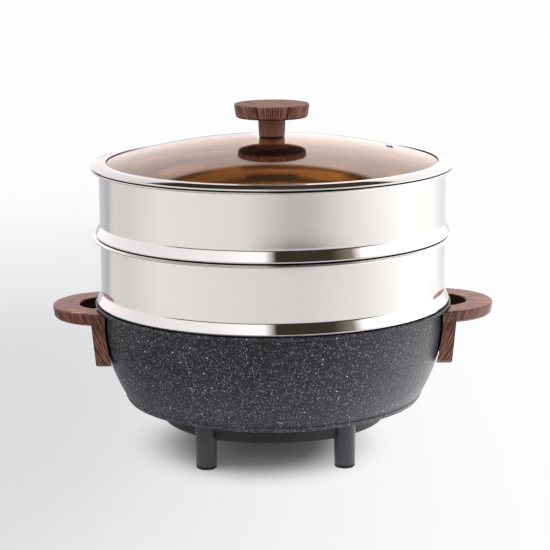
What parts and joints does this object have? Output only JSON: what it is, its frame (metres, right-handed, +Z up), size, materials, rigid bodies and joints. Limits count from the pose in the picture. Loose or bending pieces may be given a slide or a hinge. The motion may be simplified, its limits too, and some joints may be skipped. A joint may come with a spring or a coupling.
{
  "type": "electric steamer pot",
  "caption": "Electric pot for steaming: a coated cast pot on legs with ring handles, stacked steel tiers that lift off and a domed tinted glass lid with a knob.",
  "frame": {"origin": "on the floor, under the pot's axis", "axes": "+Z up, +X from handle to handle, +Y towards the rear, where the inlet is"},
  "size_m": [0.401, 0.326, 0.3132],
  "materials": {
    "stone_coating": "cast aluminium with a dark grey speckled stone-look coating",
    "heater_sheath": "dull sheathed tube",
    "contact_metal": "nickel plated",
    "insulator": "unglazed ceramic look",
    "black_plastic": "heat-proof, fine texture",
    "leg_plastic": "satin",
    "foot_rubber": "matt",
    "fastener_steel": "zinc plated",
    "wood_look_phenolic": "wood-grain transfer, satin",
    "polished_steel": "mirror polished",
    "amber_glass": "tinted, tempered",
    "black_silicone": "matt"
  },
  "bodies": {
    "pot": {"pot_body": "stone_coating", "heating_element": "heater_sheath", "power_pins": "contact_metal", "pin_bushings": "insulator", "probe_sleeve": "contact_metal", "inlet_shroud": "black_plastic", "base_cover": "black_plastic", "base_screws": "fastener_steel", "leg_front_left": "leg_plastic", "leg_front_right": "leg_plastic", "leg_rear_left": "leg_plastic", "leg_rear_right": "leg_plastic", "foot_front_left": "foot_rubber", "foot_front_right": "foot_rubber", "foot_rear_left": "foot_rubber", "foot_rear_right": "foot_rubber", "leg_screws": "fastener_steel", "handle_left": "wood_look_phenolic", "handle_right": "wood_look_phenolic", "handle_screws_left": "fastener_steel", "handle_screws_right": "fastener_steel"},
    "lower_tier": {"lower_tier_shell": "polished_steel", "lower_steam_plate": "polished_steel"},
    "upper_tier": {"upper_tier_shell": "polished_steel", "upper_steam_plate": "polished_steel"},
    "lid": {"lid_glass": "amber_glass", "lid_rim": "polished_steel", "lid_seal": "black_silicone", "vent_grommet": "polished_steel", "knob": "wood_look_phenolic", "knob_washer": "black_silicone", "inner_washer": "black_silicone", "knob_screw": "fastener_steel"}
  },
  "joints": [
    {"name": "lower_tier_lift", "type": "slide", "parent": "pot", "child": "lower_tier", "axis": [0, 0, 1], "range_m": [0, 0.1]},
    {"name": "upper_tier_lift", "type": "slide", "parent": "lower_tier", "child": "upper_tier", "axis": [0, 0, 1], "range_m": [0, 0.1]},
    {"name": "lid_lift", "type": "slide", "parent": "upper_tier", "child": "lid", "axis": [0, 0, 1], "range_m": [0, 0.12]}
  ]
}
